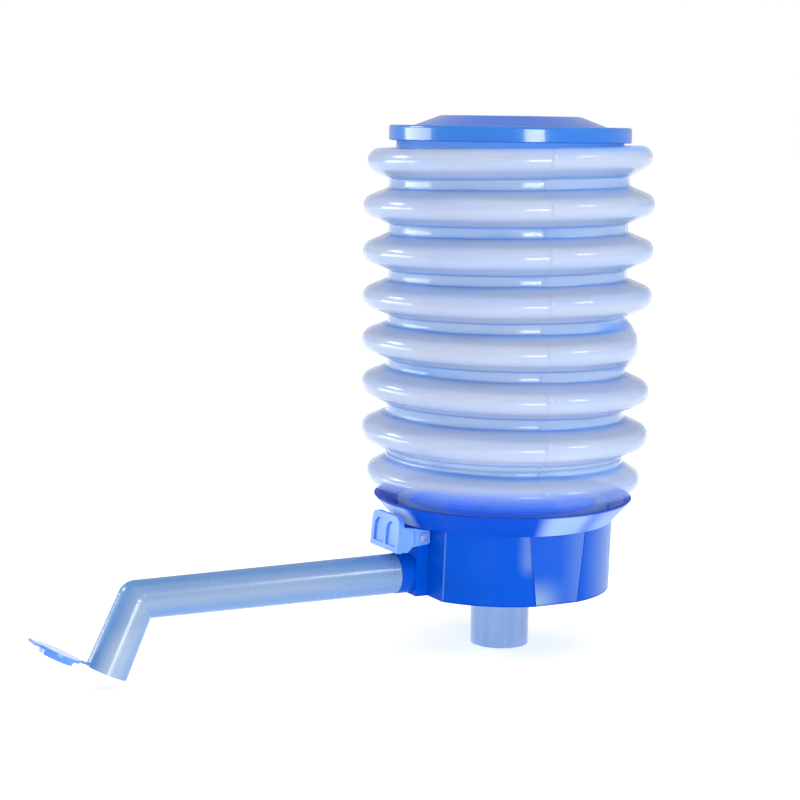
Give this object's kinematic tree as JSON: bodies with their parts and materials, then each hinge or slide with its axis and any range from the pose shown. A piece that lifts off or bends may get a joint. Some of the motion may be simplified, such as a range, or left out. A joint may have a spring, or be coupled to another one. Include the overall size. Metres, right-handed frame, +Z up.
{
  "type": "water jug hand pump",
  "caption": "Bellows hand pump that sits on a water jug's neck, with a ribbed translucent bellows, a push cap, a side spout with a hinged flap and a release lever.",
  "frame": {"origin": "on the pump's axis at the bottom of the skirt, inside the dip tube's socket", "axes": "+Z up the pump's axis towards the push cap, -X along the spout, Y across"},
  "size_m": [0.2116, 0.0956, 0.1763],
  "materials": {
    "cap_plastic": "glossy blue moulded plastic",
    "bellows_film": "translucent pale blue blow-moulded plastic",
    "cup_plastic": "translucent blue moulded plastic",
    "skirt_plastic": "deep translucent blue moulded plastic",
    "plate_plastic": "blue moulded plastic",
    "tube_plastic": "translucent blue moulded plastic",
    "spout_plastic": "translucent pale blue moulded plastic",
    "flap_plastic": "blue moulded plastic",
    "lever_plastic": "satin blue moulded plastic",
    "inner_plastic": "natural moulded plastic",
    "valve_rubber": "clear silicone rubber",
    "seal_rubber": "black rubber",
    "sleeve_rubber": "soft pale blue rubber",
    "pin_metal": "stainless pin",
    "spring_steel": "stainless spring wire"
  },
  "bodies": {
    "base": {"cup": "cup_plastic", "valve_plate": "plate_plastic", "plate_gasket": "seal_rubber", "foot_ring": "inner_plastic", "bellows": "bellows_film", "base_skirt": "skirt_plastic", "neck_sleeve": "sleeve_rubber", "inlet_tube": "tube_plastic", "inlet_seal": "seal_rubber", "lever_pin": "pin_metal", "release_spring": "spring_steel"},
    "cap": {"push_cap": "cap_plastic", "neck_ring": "inner_plastic"},
    "spout": {"spout": "spout_plastic", "spout_seal": "seal_rubber", "flap_strap": "flap_plastic"},
    "flap": {"spout_flap": "flap_plastic"},
    "lever": {"release_lever": "lever_plastic"},
    "stem": {"release_stem": "inner_plastic", "release_seal": "seal_rubber"},
    "intake": {"intake_valve": "valve_rubber"},
    "delivery": {"delivery_valve": "valve_rubber"}
  },
  "joints": [
    {"name": "press_stroke", "type": "slide", "parent": "base", "child": "cap", "axis": [0, 0, -1], "range_m": [0, 0.055], "stiffness_N_per_m": 300, "springref_m": -0.003, "deforming": ["bellows"]},
    {"name": "spout_swivel", "type": "hinge", "parent": "base", "child": "spout", "pos_m": [-0.0386, 0, 0.0068], "axis": [-1, 0, 0], "range_deg": [-90, 90]},
    {"name": "flap_fold", "type": "hinge", "parent": "spout", "child": "flap", "pos_m": [-0.14778, 0, -0.01147], "axis": [0, -1, 0], "range_deg": [0, 183], "deforming": ["flap_strap"]},
    {"name": "lever_press", "type": "hinge", "parent": "base", "child": "lever", "pos_m": [-0.035, 0, 0.02], "axis": [0, -1, 0], "range_deg": [0, 10], "stiffness_Nm_per_rad": 0.05, "springref_deg": -5.73, "deforming": ["release_spring"]},
    {"name": "stem_push", "type": "slide", "parent": "base", "child": "stem", "axis": [1, 0, 0], "range_m": [0, 0.0008], "deforming": ["release_spring"]},
    {"name": "intake_lift", "type": "slide", "parent": "base", "child": "intake", "axis": [0, 0, 1], "range_m": [0, 0.001]},
    {"name": "delivery_lift", "type": "slide", "parent": "base", "child": "delivery", "axis": [0, 0, 1], "range_m": [0, 0.001]}
  ],
  "couplings": [
    {"joint": "stem_push", "follows": "lever_press", "m_per_rad": 0.004}
  ]
}
